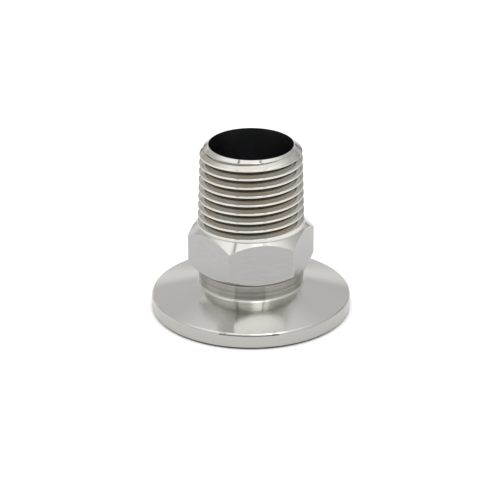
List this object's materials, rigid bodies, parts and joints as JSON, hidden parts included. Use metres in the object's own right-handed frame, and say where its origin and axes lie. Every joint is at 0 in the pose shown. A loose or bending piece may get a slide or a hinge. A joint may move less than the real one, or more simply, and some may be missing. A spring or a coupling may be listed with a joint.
{
  "type": "vacuum flange threaded adapter",
  "caption": "One-piece stainless adapter: round clamp flange, hexagon for a wrench and a tapered male pipe thread, with a bore right through.",
  "frame": {"origin": "centre of the flange's sealing face, which the adapter stands on", "axes": "+Z along the bore from the sealing face to the thread's open end; -Y is the front of the picture"},
  "size_m": [0.04, 0.04, 0.0352],
  "materials": {
    "stainless_steel": "turned stainless steel, bare and satin, with milled flats"
  },
  "bodies": {
    "root": {"adapter_body": "stainless_steel"}
  },
  "joints": []
}
